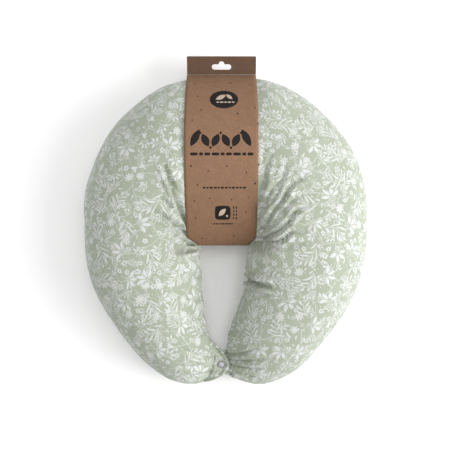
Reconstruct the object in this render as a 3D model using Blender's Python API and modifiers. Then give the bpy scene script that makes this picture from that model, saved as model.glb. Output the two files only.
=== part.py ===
"""A nursing pillow: a stuffed ring, open between the tips of its two arms, in a removable
zipped cover. A press stud on a sewn tab holds the tips together. A card sleeve with a
hanging header is wrapped round the back of the ring.

Frame: +X to the pillow's right, +Y from the tips to the hanging header, +Z up. The origin
is on the floor, under the middle of the whole object.
"""
import math

import bmesh
import bpy
import numpy as np
from mathutils import Matrix, Vector

MM = 0.001

# The ring's plan. Each side has stations from 0, the middle of the back, to 12, the tip.
ARC_RADIUS = 243.6 * MM  # the outer edge is round from station 1 to station 5
ARC_CENTRE = Vector((4.0, 16.0)) * MM
ARC_FIRST_DEG, ARC_STEP_DEG = 20.0, 18.5
BACK_EDGE_Y = 257.5 * MM
OUTER_ARM = ((243, -71), (221, -134), (189, -188), (147, -239), (102, -275), (60, -288))
OUTER_TIP = {-1: (27, -280), 1: (13, -277)}
INNER = {
    -1: ((0, -36), (26, -37), (42, -43), (46, -54), (43, -70), (42, -88), (41, -112),
         (39, -138), (37, -164), (33, -190), (26, -209), (20, -220), (17, -227)),
    1: ((0, -36), (22, -37), (36, -42), (38, -52), (35, -66), (35, -84), (37, -103),
        (31, -120), (25, -138), (18, -160), (10, -184), (5, -204), (4, -224)),
}
TOP = (150, 150, 151, 150, 149, 148, 145, 140, 131, 117, 97, 76, 55)
SEAM = (70, 70, 70, 70, 70, 70, 66, 62, 59, 57, 54, 51, 49.6)
BOTTOM = (0, 0, 0, 0, 0, 0, 0, 0, 0, 0, 6, 22, 44)
TIP = 12
RIDGE = 125 * MM  # from the outer edge to the line where the ring is thickest
FLAT_SHARE = 0.38  # the part of the underside that lies flat
TOP_POWER, BOTTOM_POWER, EDGE_POWER = 2.3, 2.2, 0.6  # how square the section's corners are
ACROSS = 8  # faces across each panel
ALONG = 0.5  # stations a face

# The layers, as distances in from the cover's outside
COVER_CLOTH = 0.4 * MM
LINER_INSET, LINER_CLOTH = 0.6 * MM, 0.25 * MM
FILLING_INSET = 1.05 * MM
SEAM_GAP = 0.3 * MM
LINER_REACH, FILLING_REACH = 11.5, 11.5  # stations

# Where the arms bend away from the back
BEND_FROM, BEND_TO = 4.5, 5.5
PIECE_GAP = 0.01  # stations
ARM_PIVOT_X, ARM_PIVOT_Y, ARM_PIVOT_Z = 145 * MM, -45 * MM, 70 * MM

# The card sleeve
CARD = 0.5 * MM
CARD_LIFT = 0.5 * MM
CARD_WIDTH, CARD_WAIST = 120 * MM, 72 * MM
CARD_MIDDLE_X, WAIST_MIDDLE_X = -7 * MM, -3 * MM
WAIST_FROM = 0.75  # how far across the panel the sleeve starts to draw in
CARD_CELLS = 6
RECESS_FULL, RECESS_NONE = 98 * MM, 104 * MM  # from the sleeve's middle
SLEEVE_REACH = 4.0  # stations
HEADER_LENGTH, HEADER_TILT_DEG = 31 * MM, 18.0
HEADER_THICK, HEADER_CORNER = 1.0 * MM, 2 * MM
HEADER_Y, HEADER_Z = 259.2 * MM, 71 * MM
SLOT_LENGTH, SLOT_WIDTH, SLOT_BUMP = 34 * MM, 9 * MM, 5 * MM
SLOT_MIDDLE = 13 * MM  # from the fold

# The zip, a band on the ring's lower right side, round the arc's centre
ZIP_FROM_DEG, ZIP_TO_DEG = 18.0, 82.0
ZIP_Z = 50 * MM
ZIP_SLOPE_REACH = 10 * MM  # up and down from the zip, to read the slope of the cover there
FACET_SHARE = 0.94  # the cover's flat faces lie this far in from its round section
ZIP_STEPS = 16
TAPE_WIDTH, TAPE_THICK, TAPE_GAP = 9 * MM, 0.6 * MM, 0.4 * MM
COIL_RADIUS = 0.95 * MM
COIL_PITCH = 2.2 * MM  # between the middles of the two coils
COIL_MARGIN_DEG, COIL_POINTS = 0.9, 28
STOP_LENGTH, STOP_HEIGHT = 1.6 * MM, 2.2 * MM
SLIDER_DEG = 79.8
SLIDER_LENGTH, SLIDER_WIDTH, SLIDER_WALL = 11 * MM, 8 * MM, 1.0 * MM
SLIDER_SIDE_GAP = 0.4 * MM
LOOP_LENGTH, LOOP_WIDTH, LOOP_HEIGHT, LOOP_MIDDLE = 7 * MM, 1.6 * MM, 3.6 * MM, 1.4 * MM
EYE_LENGTH, EYE_HEIGHT, EYE_MIDDLE = 4.6 * MM, 1.9 * MM, 1.1 * MM
LOOP_LEG_X = (LOOP_LENGTH + EYE_LENGTH) / 4
PULL_LENGTH, PULL_WIDTH, PULL_THICK, PULL_LIFT = 20 * MM, 6 * MM, 1.0 * MM, 1.05 * MM
PULL_EYE, PULL_TOP_RADIUS = 1.5 * MM, 2.6 * MM

# The press stud and the tabs
STUD_X, STUD_Y = -8 * MM, -251 * MM
TAB_THICK = 2.4 * MM
TAB_TURN_DEG = 10.5  # square to the slanting ends of the arms
LEFT_TAB_Z, RIGHT_TAB_Z = 54.6 * MM, 46.6 * MM
LEFT_TAB = (-12.3, 13, 19, 13.5)  # root x, tip x, half width at the root and at the tip
RIGHT_TAB = (15.2, -12, 18, 12)
RIVET_HOLE = 1.9 * MM
FIT = 0.3 * MM

# The turned pieces of the press stud: (radius, height) in mm from the face that they sit on
CAP = ((0, -2.5), (1.4, -2.5), (1.4, 0), (6.5, 0), (6.9, 0.5), (6.3, 1.4), (4.1, 2), (0, 2.2))
SOCKET = ((2.5, -3.4), (5.5, -3.4), (6, -2.9), (6, 0), (0, 0), (0, -0.7), (2.5, -0.7))
STUD = ((0, 0), (5.6, 0), (5.6, 0.6), (1.6, 0.8), (1.6, 1.8), (2.1, 2.4), (1.8, 3.2), (0, 3.4))
POST = ((0, -1.2), (6.1, -1.2), (6.4, 0), (1.4, 0), (1.4, 2.8), (0, 2.8))

# The care label
LABEL_WIDTH, LABEL_LENGTH, LABEL_THICK = 26 * MM, 30 * MM, 0.4 * MM
LABEL_DEG = 62.0

GREEN = (0.38, 0.45, 0.33)
COLOURS = {
    "cover": (GREEN, 0.9, 0.0),
    "liner": ((0.83, 0.83, 0.80), 0.9, 0.0),
    "filling": ((0.92, 0.92, 0.90), 1.0, 0.0),
    "card": ((0.38, 0.22, 0.13), 0.85, 0.0),
    "header_card": ((0.16, 0.09, 0.06), 0.85, 0.0),
    "nickel": ((0.62, 0.63, 0.62), 0.25, 1.0),
    "zip_tape": ((0.50, 0.56, 0.44), 0.9, 0.0),
    "zip_coil": ((0.60, 0.65, 0.55), 0.5, 0.0),
    "zip_metal": ((0.66, 0.66, 0.64), 0.35, 1.0),
    "label": ((0.88, 0.88, 0.86), 0.8, 0.0),
}


def clear_scene():
    for old in list(bpy.data.objects):
        bpy.data.objects.remove(old, do_unlink=True)


def material(name):
    if name in bpy.data.materials:
        return bpy.data.materials[name]
    colour, roughness, metallic = COLOURS[name]
    made = bpy.data.materials.new(name)
    made.use_nodes = True
    shader = made.node_tree.nodes["Principled BSDF"]
    shader.inputs["Base Color"].default_value = (*colour, 1.0)
    shader.inputs["Roughness"].default_value = roughness
    shader.inputs["Metallic"].default_value = metallic
    return made


def collection(name):
    made = bpy.data.collections.new(name)
    bpy.context.scene.collection.children.link(made)
    return made


def add_object(name, mesh, finish, into):
    made = bpy.data.objects.new(name, mesh)
    made.data.materials.append(material(finish))
    into.objects.link(made)
    return made


def helper(name, mesh, into):
    made = bpy.data.objects.new(name, mesh)
    made.hide_render = True
    made.display_type = "WIRE"
    into.objects.link(made)
    return made


def mesh_from(name, build):
    """A mesh filled by build(bmesh), with its normals facing out."""
    work = bmesh.new()
    build(work)
    bmesh.ops.recalc_face_normals(work, faces=work.faces)
    mesh = bpy.data.meshes.new(name)
    work.to_mesh(mesh)
    work.free()
    return mesh


def carry(name, place, pieces, into):
    """An empty on a joint's axis, and the pieces that turn about it parented to it in place."""
    empty = bpy.data.objects.new(name, None)
    empty.location = place
    into.objects.link(empty)
    bpy.context.view_layer.update()
    for piece in pieces:
        world = piece.matrix_world.copy()
        piece.parent = empty
        piece.matrix_world = world


def solidify(thing, thickness, offset=-1.0):
    shell = thing.modifiers.new("thickness", "SOLIDIFY")
    shell.thickness = thickness
    shell.offset = offset
    shell.use_even_offset = True


def cut(thing, cutter):
    boolean = thing.modifiers.new("cut " + cutter.name, "BOOLEAN")
    boolean.operation = "DIFFERENCE"
    boolean.object = cutter
    boolean.solver = "EXACT"


def catmull(points, at):
    """A smooth curve through evenly numbered points, read at a fractional number."""
    last = len(points) - 1
    first = min(max(int(math.floor(at)), 0), last - 1)
    t = at - first
    p1, p2 = points[first], points[first + 1]
    p0 = points[first - 1] if first > 0 else 2 * p1 - p2
    p3 = points[first + 2] if first + 2 <= last else 2 * p2 - p1
    return 0.5 * (2 * p1 + (p2 - p0) * t + (2 * p0 - 5 * p1 + 4 * p2 - p3) * t * t
                  + (3 * p1 - p0 - 3 * p2 + p3) * t ** 3)


def arc_point(degrees, radius=ARC_RADIUS):
    turn = math.radians(degrees)
    return ARC_CENTRE + radius * Vector((math.sin(turn), math.cos(turn)))


def arc_station(station):
    return arc_point(ARC_FIRST_DEG + (station - 1) * ARC_STEP_DEG)


def outer_edge(station, side):
    """The ring's outer edge at a station, on the right; the caller mirrors it."""
    if station < 1:
        return back_edge(station)
    if station <= 5:
        return arc_station(station)
    knots = [arc_station(4), arc_station(5)]
    knots += [Vector(p) * MM for p in (*OUTER_ARM, OUTER_TIP[side])]
    return catmull(knots, station - 4)


def back_edge(station):
    """From the middle of the back to the arc, leaving both along their tangents."""
    start, end = Vector((0, BACK_EDGE_Y)), arc_station(1)
    turn = math.radians(ARC_FIRST_DEG)
    span = (end - start).length
    t = station
    return ((2 * t ** 3 - 3 * t ** 2 + 1) * start + (t ** 3 - 2 * t ** 2 + t) * span * Vector((1, 0))
            + (3 * t ** 2 - 2 * t ** 3) * end
            + (t ** 3 - t ** 2) * span * Vector((math.cos(turn), -math.sin(turn))))


def section_line(station):
    """The outer and the inner end of a station's section, in plan. The left is negative."""
    side = -1 if station < 0 else 1
    outer = outer_edge(abs(station), side)
    inner = catmull([Vector(p) * MM for p in INNER[side]], abs(station))
    return Vector((side * outer.x, outer.y)), Vector((side * inner.x, inner.y))


def height(table, station):
    return float(catmull([np.float64(h) for h in table], abs(station))) * MM


def fade(value, low, high):
    t = min(max((value - low) / (high - low), 0.0), 1.0)
    return t * t * (3 - 2 * t)


def card_recess(x):
    """How far the sleeve presses the underside up."""
    reach = abs(x - CARD_MIDDLE_X)
    return (CARD + CARD_LIFT) * (1 - fade(reach, RECESS_FULL, RECESS_NONE))


def surface(station, across, under):
    """A point on the cover's outside. across runs from -1 at the outer edge to 1 at the inner."""
    outer, inner = section_line(station)
    length = (inner - outer).length
    ridge = outer.lerp(inner, min(RIDGE / length, 0.5))
    plan = ridge.lerp(outer if across < 0 else inner, abs(across))
    seam = height(SEAM, station)
    if under:
        share = max(0.0, (abs(across) - FLAT_SHARE) / (1 - FLAT_SHARE))
        fullness = max(0.0, 1 - share ** BOTTOM_POWER) ** EDGE_POWER
        low = max(height(BOTTOM, station), 0.0) + card_recess(plan.x)
        return Vector((*plan, seam - SEAM_GAP - (seam - SEAM_GAP - low) * fullness))
    fullness = max(0.0, 1 - abs(across) ** TOP_POWER) ** EDGE_POWER
    rise = height(TOP, station) - seam - SEAM_GAP
    return Vector((*plan, seam + SEAM_GAP + rise * fullness))


def skin(station, across, under, inset):
    """A point inset from the cover's outside, straight in from its surface."""
    near, aside = 0.02, 0.004
    along = (surface(min(station + near, TIP), across, under)
             - surface(max(station - near, -TIP), across, under))
    over = (surface(station, min(across + aside, 1.0), under)
            - surface(station, max(across - aside, -1.0), under))
    way_in = along.cross(over).normalized()
    if under:
        way_in.negate()
    if abs(across) == 1.0:
        way_in = Vector((way_in.x, way_in.y, 0)).normalized()
    return surface(station, across, under) + way_in * inset


def stations(start, stop):
    """Every half station between two ends, so that all the layers have their faces in line."""
    first, last = math.floor(start / ALONG) + 1, math.ceil(stop / ALONG) - 1
    return [start] + [k * ALONG for k in range(first, last + 1)] + [stop]


def acrosses():
    return [math.sin(math.pi * (k / ACROSS - 0.5)) for k in range(ACROSS + 1)]


def sheet(work, rows):
    """Faces between rows of points, split the same way everywhere so that layers nest."""
    rows = [[work.verts.new(p) for p in row] for row in rows]
    for row, after in zip(rows, rows[1:]):
        for k in range(len(row) - 1):
            work.faces.new((row[k], row[k + 1], after[k + 1]))
            work.faces.new((row[k], after[k + 1], after[k]))
    return rows


def faced(mesh, under):
    """The sheet turned to face down if it is an underside, and up if not."""
    lean = sum(p.normal.z * p.area for p in mesh.polygons)
    if (lean < 0) != under:
        mesh.flip_normals()
    return mesh


def skin_rows(start, stop, under, inset):
    return [[skin(u, s, under, inset) for s in acrosses()] for u in stations(start, stop)]


def panel_mesh(name, start, stop, under, inset):
    """An open sheet over the top or under the bottom of the ring, facing out."""
    return faced(mesh_from(name, lambda work: sheet(work, skin_rows(start, stop, under, inset))),
                 under)


def make_casing(name, reach, under, inset, cloth, finish, into):
    panel = add_object(name, panel_mesh(name, -reach, reach, under, inset), finish, into)
    solidify(panel, cloth)


def make_filling(name, start, stop, into):
    """One stretch of the stuffing: a closed loft between sections."""
    def build(work):
        over = sheet(work, skin_rows(start, stop, False, FILLING_INSET))
        under = sheet(work, skin_rows(start, stop, True, FILLING_INSET))
        for high, low in (([r[0] for r in over], [r[0] for r in under]),
                          ([r[-1] for r in over], [r[-1] for r in under])):
            for k in range(len(high) - 1):
                work.faces.new((high[k], high[k + 1], low[k + 1], low[k]))
        for high, low in ((over[0], under[0]), (over[-1], under[-1])):
            work.faces.new(high + low[::-1])

    add_object(name, mesh_from(name, build), "filling", into)


def make_fillings(into):
    reach = FILLING_REACH
    make_filling("filling_back", -BEND_FROM + PIECE_GAP, BEND_FROM - PIECE_GAP, into)
    make_filling("filling_left_bend", -BEND_TO + PIECE_GAP, -BEND_FROM - PIECE_GAP, into)
    make_filling("filling_right_bend", BEND_FROM + PIECE_GAP, BEND_TO - PIECE_GAP, into)
    make_filling("filling_left_arm", -reach, -BEND_TO - PIECE_GAP, into)
    make_filling("filling_right_arm", BEND_TO + PIECE_GAP, reach, into)


def card_edges(across):
    """The x of the sleeve's sides, which draw in where it passes through the ring's middle."""
    narrow = fade(across, WAIST_FROM, 1.0)
    middle = CARD_MIDDLE_X + (WAIST_MIDDLE_X - CARD_MIDDLE_X) * narrow
    half = (CARD_WIDTH + (CARD_WAIST - CARD_WIDTH) * narrow) / 2
    return middle - half, middle + half


def station_at_x(x, across, under, inset):
    low, high = -SLEEVE_REACH, SLEEVE_REACH
    halvings = 40
    for _ in range(halvings):
        middle = (low + high) / 2
        if skin(middle, across, under, inset).x < x:
            low = middle
        else:
            high = middle
    return (low + high) / 2


def card_panel_mesh(name, under):
    """The sleeve's panel over or under the ring, a constant distance outside the cover."""
    inset = -CARD_LIFT - CARD
    rows = []
    for s in acrosses():
        left, right = card_edges(s)
        xs = [left + (right - left) * k / CARD_CELLS for k in range(CARD_CELLS + 1)]
        rows.append([skin(station_at_x(x, s, under, inset), s, under, inset) for x in xs])
    return faced(mesh_from(name, lambda work: sheet(work, rows)), under)


def make_sleeve(into):
    for name, under in (("sleeve_front_panel", False), ("sleeve_back_panel", True)):
        panel = add_object(name, card_panel_mesh(name, under), "card", into)
        solidify(panel, CARD)
    make_header(into)


def flat_outline(name, outline, thickness, holes=()):
    """A 2D curve filled and extruded, as a mesh about z = 0."""
    curve = bpy.data.curves.new(name, "CURVE")
    curve.dimensions = "2D"
    curve.fill_mode = "BOTH"
    curve.extrude = thickness / 2
    for points in (outline, *holes):
        spline = curve.splines.new("POLY")
        spline.points.add(len(points) - 1)
        for spot, (x, y) in zip(spline.points, points):
            spot.co = (x, y, 0, 1)
        spline.use_cyclic_u = True
    drawn = bpy.data.objects.new(name + " outline", curve)
    bpy.context.scene.collection.objects.link(drawn)
    bpy.context.view_layer.update()
    graph = bpy.context.evaluated_depsgraph_get()
    mesh = bpy.data.meshes.new_from_object(drawn.evaluated_get(graph))
    bpy.data.objects.remove(drawn)
    work = bmesh.new()
    work.from_mesh(mesh)
    bmesh.ops.remove_doubles(work, verts=work.verts, dist=1e-6)
    bmesh.ops.recalc_face_normals(work, faces=work.faces)
    work.to_mesh(mesh)
    work.free()
    mesh.name = name
    mesh.materials.clear()
    return mesh


def arc_points(centre, radius, from_deg, to_deg, count):
    turns = [math.radians(from_deg + (to_deg - from_deg) * k / count) for k in range(count + 1)]
    return [(centre[0] + radius * math.cos(t), centre[1] + radius * math.sin(t)) for t in turns]


def hang_slot(middle_y):
    """The outline of a shop's hanging slot: a long slot with a round bump towards the edge."""
    end = SLOT_WIDTH / 2
    run = SLOT_LENGTH / 2 - end
    bump = arc_points((0, middle_y + end), SLOT_BUMP, 0, 180, 8)
    return (arc_points((run, middle_y), end, -90, 90, 6) + bump
            + arc_points((-run, middle_y), end, 90, 270, 6))


def make_header(into):
    """It turns about its fold, where its origin is."""
    half, corner = CARD_WIDTH / 2, HEADER_CORNER
    outline = [(-half, 0), (half, 0)]
    outline += arc_points((half - corner, HEADER_LENGTH - corner), corner, 0, 90, 3)
    outline += arc_points((corner - half, HEADER_LENGTH - corner), corner, 90, 180, 3)
    mesh = flat_outline("hang_header", outline, HEADER_THICK, [hang_slot(SLOT_MIDDLE)])
    header = add_object("hang_header", mesh, "header_card", into)
    header.location = (CARD_MIDDLE_X, HEADER_Y, HEADER_Z)
    header.rotation_euler = (math.radians(HEADER_TILT_DEG), 0, 0)


def zip_surface(z):
    """The cover's distance from the zip's axis at a height, on the face that the zip lies on."""
    edge = math.sin(math.pi * (1 / ACROSS - 0.5))
    share = (-edge - FLAT_SHARE) / (1 - FLAT_SHARE)
    seam = SEAM[2] * MM
    fall = seam * (1 - (1 - share ** BOTTOM_POWER) ** EDGE_POWER)
    depth = RIDGE * (1 + edge) * FACET_SHARE
    return ARC_RADIUS - (seam - z) / (seam - fall) * depth


def zip_point(up, out):
    """Radius and height of a point up the zip's face and out from it, from its middle."""
    low, high = ZIP_Z - ZIP_SLOPE_REACH, ZIP_Z + ZIP_SLOPE_REACH
    slope = Vector((zip_surface(high) - zip_surface(low), high - low)).normalized()
    start = Vector((zip_surface(ZIP_Z), ZIP_Z))
    normal = Vector((slope.y, -slope.x))
    return start + slope * up + normal * (out + FIT)


def zip_place(degrees, up, out):
    radius, z = zip_point(up, out)
    return Vector((*arc_point(degrees, radius), z))


def swept_profile(name, profile, finish, into, thickness):
    """An open profile of (radius, height) points turned about the zip's axis."""
    mesh = bpy.data.meshes.new(name)
    edges = [(k, k + 1) for k in range(len(profile) - 1)]
    mesh.from_pydata([(0, r, z) for r, z in profile], edges, [])
    band = add_object(name, mesh, finish, into)
    band.location = (*ARC_CENTRE, 0)
    band.rotation_euler = (0, 0, -math.radians(ZIP_FROM_DEG))
    turn = band.modifiers.new("turn", "SCREW")
    turn.angle = -math.radians(ZIP_TO_DEG - ZIP_FROM_DEG)
    turn.steps = ZIP_STEPS
    turn.render_steps = ZIP_STEPS
    turn.use_normal_calculate = True
    turn.merge_threshold = 0.0001
    solidify(band, thickness, 0.0)


def make_zip(into, cutters):
    inner = COIL_PITCH + TAPE_GAP
    for name, way in (("zip_tape_upper", 1), ("zip_tape_lower", -1)):
        ends = [zip_point(way * up, TAPE_THICK / 2) for up in (inner, inner + TAPE_WIDTH)]
        swept_profile(name, ends, "zip_tape", into, TAPE_THICK)
    for name, way in (("zip_coil_upper", 1), ("zip_coil_lower", -1)):
        make_coil(name, way, into)
    for name, degrees in (("zip_bottom_stop", ZIP_FROM_DEG), ("zip_top_stop", ZIP_TO_DEG)):
        make_stop(name, degrees, into)
    make_slider(into, cutters)
    make_pull(into)


def make_coil(name, way, into):
    curve = bpy.data.curves.new(name, "CURVE")
    curve.dimensions = "3D"
    curve.bevel_depth = COIL_RADIUS
    curve.bevel_resolution = 2
    curve.use_fill_caps = True
    spline = curve.splines.new("POLY")
    spline.points.add(COIL_POINTS)
    first, last = ZIP_FROM_DEG + COIL_MARGIN_DEG, ZIP_TO_DEG - COIL_MARGIN_DEG
    for k in range(COIL_POINTS + 1):
        degrees = first + (last - first) * k / COIL_POINTS
        place = zip_place(degrees, way * COIL_PITCH / 2, COIL_RADIUS)
        spline.points[k].co = (*place, 1)
    add_object(name, curve, "zip_coil", into)


def box_mesh(name, size, middle=(0, 0, 0)):
    def build(work):
        shape = Matrix.Translation(middle) @ Matrix.Diagonal((*size, 1))
        bmesh.ops.create_cube(work, size=1, matrix=shape)

    return mesh_from(name, build)


def zip_axes(degrees, out=0.0):
    """A frame on the zip: x along it, y up its face, z out."""
    middle, above = zip_place(degrees, 0, out), zip_place(degrees, 1 * MM, out)
    up = (above - middle).normalized()
    along = Vector((*(arc_point(degrees + 1) - arc_point(degrees)), 0)).normalized()
    frame = Matrix.Identity(4)
    for k, axis in enumerate((along, up, along.cross(up))):
        frame.col[k][:3] = axis
    if along.cross(up).dot(Vector((*(arc_point(degrees) - ARC_CENTRE), 0))) < 0:
        frame.col[0][:3] = -along
        frame.col[2][:3] = -along.cross(up)
    frame.translation = middle
    return frame


def make_stop(name, degrees, into):
    block = box_mesh(name, (STOP_LENGTH, 2 * COIL_PITCH, STOP_HEIGHT), (0, 0, STOP_HEIGHT / 2))
    stop = add_object(name, block, "zip_metal", into)
    stop.matrix_world = zip_axes(degrees)


def slider_top():
    return 2 * COIL_RADIUS + FIT + SLIDER_WALL


def make_slider(into, cutters):
    """It straddles both coils from outside, open towards the cover, with a loop on top."""
    inside_width = 2 * (COIL_PITCH + SLIDER_SIDE_GAP)
    floor, roof, top = TAPE_THICK + FIT, 2 * COIL_RADIUS + FIT, slider_top()
    shapes = {
        "slider channel": ((2 * SLIDER_LENGTH, inside_width, roof), roof / 2),
        "slider loop": ((LOOP_LENGTH, LOOP_WIDTH, LOOP_HEIGHT), top + LOOP_MIDDLE),
        "slider eye": ((EYE_LENGTH, 4 * LOOP_WIDTH, EYE_HEIGHT), top + EYE_MIDDLE),
    }
    channel, loop, eye = [helper(name, box_mesh(name, size, (0, 0, middle)), cutters)
                          for name, (size, middle) in shapes.items()]
    body = box_mesh("slider body", (SLIDER_LENGTH, SLIDER_WIDTH, top - floor),
                    (0, 0, (top + floor) / 2))
    slider = add_object("zip_slider", body, "zip_metal", into)
    for thing in (slider, channel, loop, eye):
        thing.matrix_world = zip_axes(SLIDER_DEG)
    cut(slider, channel)
    joined = slider.modifiers.new("loop", "BOOLEAN")
    joined.operation = "UNION"
    joined.object = loop
    cut(slider, eye)
    carry("zip_axis", (*ARC_CENTRE, ZIP_Z), [slider], into)


def make_pull(into):
    """A flat plate that hangs down the cover's face from one leg of the slider's loop. It
    turns about the middle of its eye, where its origin is."""
    eye = arc_points((0, 0), PULL_EYE, 0, 330, 11)
    outline = arc_points((0, 0), PULL_TOP_RADIUS, 0, 180, 8)
    outline += arc_points((0, PULL_WIDTH / 2 - PULL_LENGTH), PULL_WIDTH / 2, 180, 360, 8)
    mesh = flat_outline("zip_pull", outline, PULL_THICK, [eye])
    pull = add_object("zip_pull", mesh, "zip_metal", into)
    leg = Matrix.Translation((-LOOP_LEG_X, 0, slider_top() + PULL_LIFT))
    pull.matrix_world = zip_axes(SLIDER_DEG) @ leg


def turned_mesh(name, profile, sides=24):
    """A closed turned solid from (radius, height) points, bottom to top on the axis."""
    def build(work):
        rings = []
        for r, z in profile:
            if r == 0:
                rings.append([work.verts.new((0, 0, z))])
            else:
                turns = [2 * math.pi * k / sides for k in range(sides)]
                rings.append([work.verts.new((r * math.cos(t), r * math.sin(t), z)) for t in turns])
        for ring, after in zip(rings, rings[1:] + rings[:1]):
            for k in range(sides):
                nxt = (k + 1) % sides
                corners = [ring[k % len(ring)], ring[nxt % len(ring)],
                           after[nxt % len(after)], after[k % len(after)]]
                corners = list(dict.fromkeys(corners))
                if len(corners) > 2:
                    work.faces.new(corners)

    return mesh_from(name, build)


def turned(name, profile, z, into):
    """A turned piece on the press stud's axis, whose profile is in mm from the height z."""
    mesh = turned_mesh(name, [(r * MM, h * MM) for r, h in profile])
    piece = add_object(name, mesh, "nickel", into)
    piece.location = (STUD_X, STUD_Y, z)
    return piece


def tab_outline(root_x, tip_x, root_half, tip_half):
    """A tongue from its root to a round tip, in plan about the press stud."""
    way = 1 if tip_x > root_x else -1
    centre = tip_x - way * tip_half
    start, stop = (-75, 75) if way > 0 else (105, 255)
    points = [(root_x, way * -root_half)]
    points += arc_points((centre, 0), tip_half, start, stop, 12)
    points.append((root_x, way * root_half))
    return points


def make_tab(name, shape, z, turn, hole, into):
    outline = tab_outline(*[value * MM for value in shape])
    tab = add_object(name, flat_outline(name, outline, TAB_THICK), "cover", into)
    tab.location = (STUD_X, STUD_Y, z)
    tab.rotation_euler = (0, 0, turn)
    cut(tab, hole)
    return tab


def make_fastening(into, cutters):
    """The two tabs and the press stud through them, and the axes that they turn about."""
    low, high = RIGHT_TAB_Z - 10 * TAB_THICK, LEFT_TAB_Z + 10 * TAB_THICK
    bore = [(0, low), (RIVET_HOLE, low), (RIVET_HOLE, high), (0, high)]
    hole = helper("rivet hole", turned_mesh("rivet hole", bore, 16), cutters)
    hole.location = (STUD_X, STUD_Y, 0)
    turn = math.radians(TAB_TURN_DEG)
    left = make_tab("left_tab", LEFT_TAB, LEFT_TAB_Z, -turn, hole, into)
    right = make_tab("right_tab", RIGHT_TAB, RIGHT_TAB_Z, turn, hole, into)
    off = TAB_THICK / 2 + FIT
    cap = turned("snap_cap", CAP, LEFT_TAB_Z + off, into)
    socket = turned("snap_socket", SOCKET, LEFT_TAB_Z - off, into)
    stud = turned("snap_stud", STUD, RIGHT_TAB_Z + off, into)
    post = turned("snap_post", POST, RIGHT_TAB_Z - off, into)
    root = Vector((LEFT_TAB[0] * MM, 0, 0))
    root.rotate(Matrix.Rotation(-turn, 3, "Z"))
    tab_root = root + Vector((STUD_X, STUD_Y, LEFT_TAB_Z))
    carry("snap_tab_root", tab_root, [left, cap, socket], into)
    for side, pieces in ((-1, []), (1, [right, stud, post])):
        word = "right" if side > 0 else "left"
        filling = bpy.data.objects["filling_" + word + "_arm"]
        place = (side * ARM_PIVOT_X, ARM_PIVOT_Y, ARM_PIVOT_Z)
        carry(word + "_arm_axis", place, [filling, *pieces], into)


def make_care_label(into):
    """A satin label sewn into the seam of the left side, lying down over the lower panel."""
    block = box_mesh("care_label", (LABEL_WIDTH, LABEL_LENGTH, LABEL_THICK))
    label = add_object("care_label", block, "label", into)
    mirror = Matrix.Diagonal((-1, 1, 1, 1))
    label.matrix_world = mirror @ zip_axes(LABEL_DEG, LABEL_THICK) @ mirror


def make_pillow():
    clear_scene()
    parts = collection("nursing_pillow")
    cutters = collection("cutters")
    for name, under in (("top_panel", False), ("bottom_panel", True)):
        make_casing("cover_" + name, TIP, under, 0.0, COVER_CLOTH, "cover", parts)
        make_casing("liner_" + name, LINER_REACH, under, LINER_INSET, LINER_CLOTH, "liner", parts)
    make_fillings(parts)
    make_sleeve(parts)
    make_zip(parts, cutters)
    make_fastening(parts, cutters)
    make_care_label(parts)


make_pillow()
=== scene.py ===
"""The looks of the nursing pillow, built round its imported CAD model: a stuffed ring in a
printed cotton cover, its arm tips closed by a press stud, in a kraft card sleeve.

Everything is in metres, in the model's frame: +X right, +Y from the tips to the hanging
header, +Z up. Tables of points are in millimetres. A station numbers a section of the ring:
0 is the middle of the back, -12 the left tip and 12 the right one.
"""
import math

import bmesh
import bpy
import numpy as np
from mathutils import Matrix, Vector, noise
from mathutils.bvhtree import BVHTree


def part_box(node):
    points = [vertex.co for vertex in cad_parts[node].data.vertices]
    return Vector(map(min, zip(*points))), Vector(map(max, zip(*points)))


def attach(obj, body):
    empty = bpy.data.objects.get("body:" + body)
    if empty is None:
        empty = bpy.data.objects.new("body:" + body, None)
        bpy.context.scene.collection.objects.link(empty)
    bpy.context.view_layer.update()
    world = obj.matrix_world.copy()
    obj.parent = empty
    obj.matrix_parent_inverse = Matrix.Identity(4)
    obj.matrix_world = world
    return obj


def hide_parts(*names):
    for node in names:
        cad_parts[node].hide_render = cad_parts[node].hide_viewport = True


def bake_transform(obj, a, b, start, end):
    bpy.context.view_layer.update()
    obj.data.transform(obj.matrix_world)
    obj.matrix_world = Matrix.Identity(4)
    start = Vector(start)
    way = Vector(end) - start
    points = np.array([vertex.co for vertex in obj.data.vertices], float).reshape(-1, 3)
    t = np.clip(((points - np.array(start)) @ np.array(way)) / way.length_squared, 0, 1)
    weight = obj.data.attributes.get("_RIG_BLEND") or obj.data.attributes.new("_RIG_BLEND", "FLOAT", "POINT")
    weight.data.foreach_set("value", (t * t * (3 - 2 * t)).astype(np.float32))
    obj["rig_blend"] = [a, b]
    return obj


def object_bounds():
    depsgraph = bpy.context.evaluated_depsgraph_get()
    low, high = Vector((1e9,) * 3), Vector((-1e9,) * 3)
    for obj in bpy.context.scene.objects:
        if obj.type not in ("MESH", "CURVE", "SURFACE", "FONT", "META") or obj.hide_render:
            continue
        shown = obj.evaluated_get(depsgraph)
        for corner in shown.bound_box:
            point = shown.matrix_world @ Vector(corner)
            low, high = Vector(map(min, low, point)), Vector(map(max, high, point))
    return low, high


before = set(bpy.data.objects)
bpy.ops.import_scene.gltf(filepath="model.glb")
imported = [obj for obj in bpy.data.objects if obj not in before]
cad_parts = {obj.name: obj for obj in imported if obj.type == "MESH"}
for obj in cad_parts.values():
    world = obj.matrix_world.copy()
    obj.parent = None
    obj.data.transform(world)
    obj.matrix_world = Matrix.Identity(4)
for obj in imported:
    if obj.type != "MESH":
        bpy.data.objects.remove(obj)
CAD_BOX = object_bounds()

MM = 0.001
TAU = 2 * math.pi

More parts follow.
